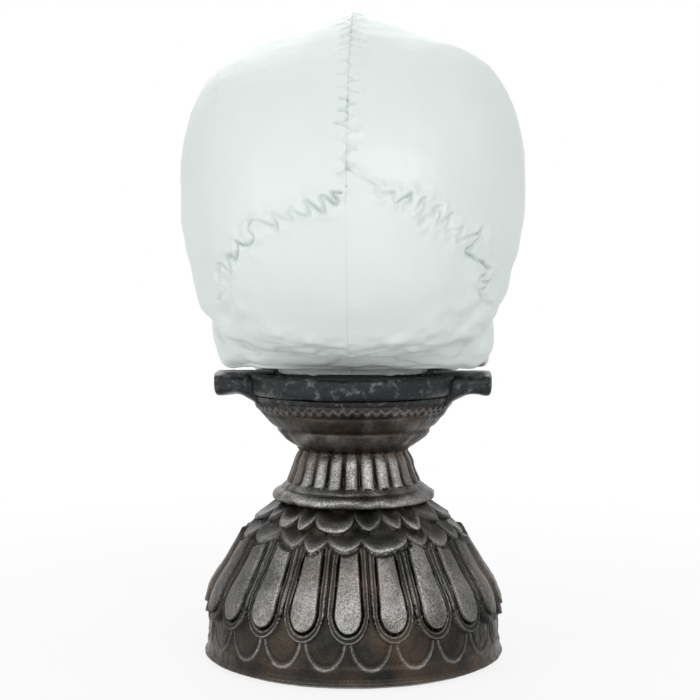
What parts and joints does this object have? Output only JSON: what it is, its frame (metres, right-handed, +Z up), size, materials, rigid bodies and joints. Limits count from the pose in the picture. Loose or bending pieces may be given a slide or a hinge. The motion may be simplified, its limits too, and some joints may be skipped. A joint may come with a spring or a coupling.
{
  "type": "skull decoration",
  "caption": "White human skull with a hinged, motor-driven jaw, on a round dark bronze pedestal with leaf, scale and flute bands, side lugs and a battery base.",
  "frame": {"origin": "on the ground under the middle of the whole object; the pedestal's axis stands 7 mm behind it", "axes": "+Z up, -Y the way the face looks, +X toward the skull's own left side"},
  "size_m": [0.1536, 0.1859, 0.2899],
  "materials": {
    "bone": "satin moulded white with a slight green-grey cast",
    "bronze": "near-black bronze paint, raised edges rubbed silver, recesses brown",
    "black": "matt moulded black",
    "rubber": "matt",
    "steel": "plated",
    "acetal": "moulded gear plastic",
    "board": "green solder mask",
    "battery": "plain blue sleeve",
    "lens": "clear lamp epoxy, unlit",
    "wire": "red wire sleeve"
  },
  "bodies": {
    "base": {"pedestal_front_shell": "bronze", "pedestal_rear_shell": "bronze", "skull_mount": "black", "skull_left_shell": "bone", "skull_right_shell": "bone", "neck_screw_1": "steel", "neck_screw_2": "steel", "eye_led_left": "lens", "eye_led_right": "lens", "drive_bracket": "steel", "bracket_screw_1": "steel", "bracket_screw_2": "steel", "drive_motor": "steel", "base_plate": "black", "battery_door": "black", "door_screw": "steel", "battery_1": "battery", "battery_2": "battery", "battery_3": "battery", "contact_strip_left": "steel", "contact_strip_right": "steel", "speaker": "steel", "control_board": "board", "wire_loom": "wire", "switch_body": "black", "base_screw_1": "steel", "base_screw_2": "steel", "base_screw_3": "steel", "base_screw_4": "steel", "foot_pad_1": "rubber", "foot_pad_2": "rubber", "foot_pad_3": "rubber", "foot_pad_4": "rubber"},
    "jaw": {"mandible": "bone", "jaw_axle": "steel", "sector_gear": "acetal"},
    "motor_drive": {"motor_pinion": "acetal", "motor_shaft": "steel"},
    "switch": {"switch_knob": "black"}
  },
  "joints": [
    {"name": "jaw_hinge", "type": "hinge", "parent": "base", "child": "jaw", "pos_m": [0, 0.00601, 0.17999], "axis": [1, 0, 0], "range_deg": [0, 8]},
    {"name": "motor_spin", "type": "hinge", "parent": "base", "child": "motor_drive", "pos_m": [0, 0.00601, 0.21499], "axis": [1, 0, 0], "range_deg": [-48, 0]},
    {"name": "switch_slide", "type": "slide", "parent": "base", "child": "switch", "axis": [1, 0, 0], "range_m": [0, 0.004]}
  ],
  "couplings": [
    {"joint": "motor_spin", "follows": "jaw_hinge", "ratio": -6}
  ]
}
